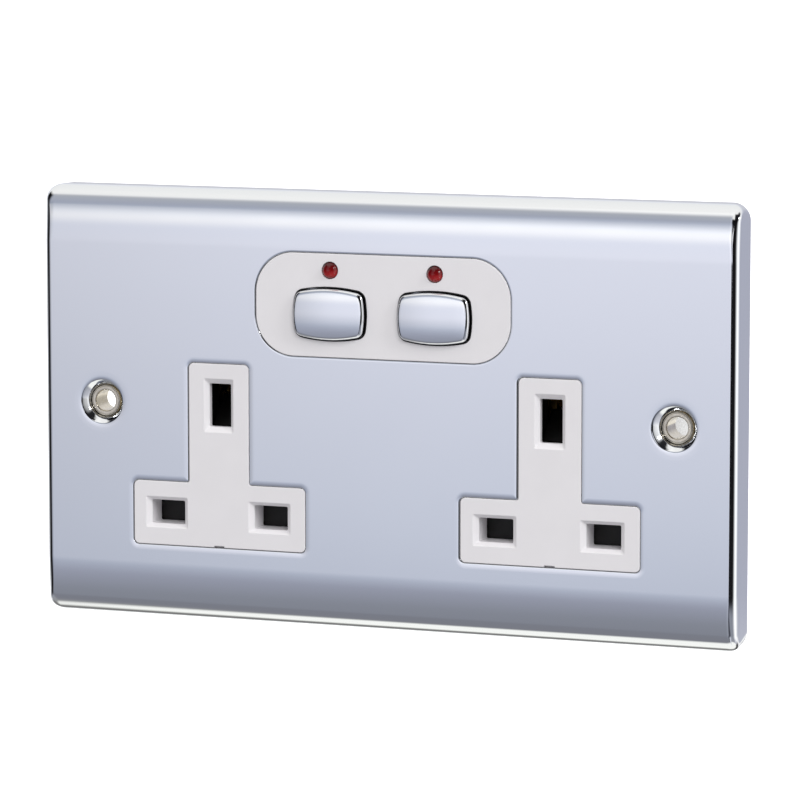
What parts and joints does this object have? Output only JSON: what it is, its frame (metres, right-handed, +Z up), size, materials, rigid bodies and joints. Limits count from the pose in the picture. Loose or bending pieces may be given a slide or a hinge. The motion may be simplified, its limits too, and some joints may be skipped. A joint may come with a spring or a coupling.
{
  "type": "two-gang wall socket",
  "caption": "Flush wall socket with a chromed metal plate, T-shaped white socket inserts, shuttered pin slots, an oblong switch panel with push-buttons and indicators, and a rear housing.",
  "frame": {"origin": "in the wall plane, halfway between the two fixing holes", "axes": "+X to the right along the line of the fixing holes, +Y into the wall, +Z up"},
  "size_m": [0.1458, 0.0349, 0.087],
  "materials": {
    "plate_chrome": "pressed steel sheet with polished chrome plating",
    "white_moulding": "white moulded plastic, soft gloss",
    "button_chrome": "chrome plated plastic, smooth",
    "red_lens": "dark red translucent plastic",
    "bush_nickel": "spun brass with thin nickel plating",
    "black_plastic": "black moulded plastic",
    "carrier_plastic": "black moulded plastic, matt",
    "housing_plastic": "off-white moulded plastic, matt",
    "brass": "pressed and turned brass",
    "steel": "zinc plated steel",
    "board_laminate": "green circuit board laminate",
    "component_plastic": "dark component plastic",
    "capacitor_case": "yellow plastic case",
    "varistor_coating": "blue dipped coating"
  },
  "bodies": {
    "base": {"faceplate": "plate_chrome", "left_socket_insert": "white_moulding", "right_socket_insert": "white_moulding", "switch_panel": "white_moulding", "left_indicator_led": "red_lens", "right_indicator_led": "red_lens", "left_fixing_bush": "bush_nickel", "right_fixing_bush": "bush_nickel", "left_shutter_spring": "steel", "right_shutter_spring": "steel", "contact_carrier": "carrier_plastic", "earth_strap": "brass", "neutral_strap": "brass", "left_line_contact": "brass", "right_line_contact": "brass", "line_supply_strap": "brass", "line_terminal": "brass", "left_earth_terminal": "brass", "right_earth_terminal": "brass", "neutral_terminal": "brass", "line_terminal_screw": "steel", "left_earth_terminal_screw": "steel", "right_earth_terminal_screw": "steel", "neutral_terminal_screw": "steel", "circuit_board": "board_laminate", "left_tact_switch": "component_plastic", "right_tact_switch": "component_plastic", "left_relay": "component_plastic", "right_relay": "component_plastic", "suppression_capacitor": "capacitor_case", "supply_transformer": "component_plastic", "electrolytic_capacitor": "component_plastic", "radio_module": "steel", "control_chip": "component_plastic", "varistor": "varistor_coating", "rear_housing": "housing_plastic", "housing_screw_1": "steel", "housing_screw_2": "steel", "housing_screw_3": "steel", "housing_screw_4": "steel"},
    "left_push_button": {"left_button": "button_chrome"},
    "right_push_button": {"right_button": "button_chrome"},
    "left_plunger": {"left_switch_plunger": "steel"},
    "right_plunger": {"right_switch_plunger": "steel"},
    "left_pin_shutter": {"left_shutter": "black_plastic"},
    "right_pin_shutter": {"right_shutter": "black_plastic"}
  },
  "joints": [
    {"name": "left_button_press", "type": "slide", "parent": "base", "child": "left_push_button", "axis": [0, 1, 0], "range_m": [0, 0.0005], "stiffness_N_per_m": 400, "springref_m": -0.0005},
    {"name": "right_button_press", "type": "slide", "parent": "base", "child": "right_push_button", "axis": [0, 1, 0], "range_m": [0, 0.0005], "stiffness_N_per_m": 400, "springref_m": -0.0005},
    {"name": "left_plunger_press", "type": "slide", "parent": "base", "child": "left_plunger", "axis": [0, 1, 0], "range_m": [0, 0.00025], "stiffness_N_per_m": 200, "springref_m": -0.0005},
    {"name": "right_plunger_press", "type": "slide", "parent": "base", "child": "right_plunger", "axis": [0, 1, 0], "range_m": [0, 0.00025], "stiffness_N_per_m": 200, "springref_m": -0.0005},
    {"name": "left_shutter_slide", "type": "slide", "parent": "base", "child": "left_pin_shutter", "axis": [0, 0, -1], "range_m": [0, 0.005], "stiffness_N_per_m": 60, "springref_m": -0.004, "deforming": ["left_shutter_spring"]},
    {"name": "right_shutter_slide", "type": "slide", "parent": "base", "child": "right_pin_shutter", "axis": [0, 0, -1], "range_m": [0, 0.005], "stiffness_N_per_m": 60, "springref_m": -0.004, "deforming": ["right_shutter_spring"]}
  ],
  "couplings": [
    {"joint": "left_plunger_press", "follows": "left_button_press", "ratio": 0.5},
    {"joint": "right_plunger_press", "follows": "right_button_press", "ratio": 0.5}
  ]
}
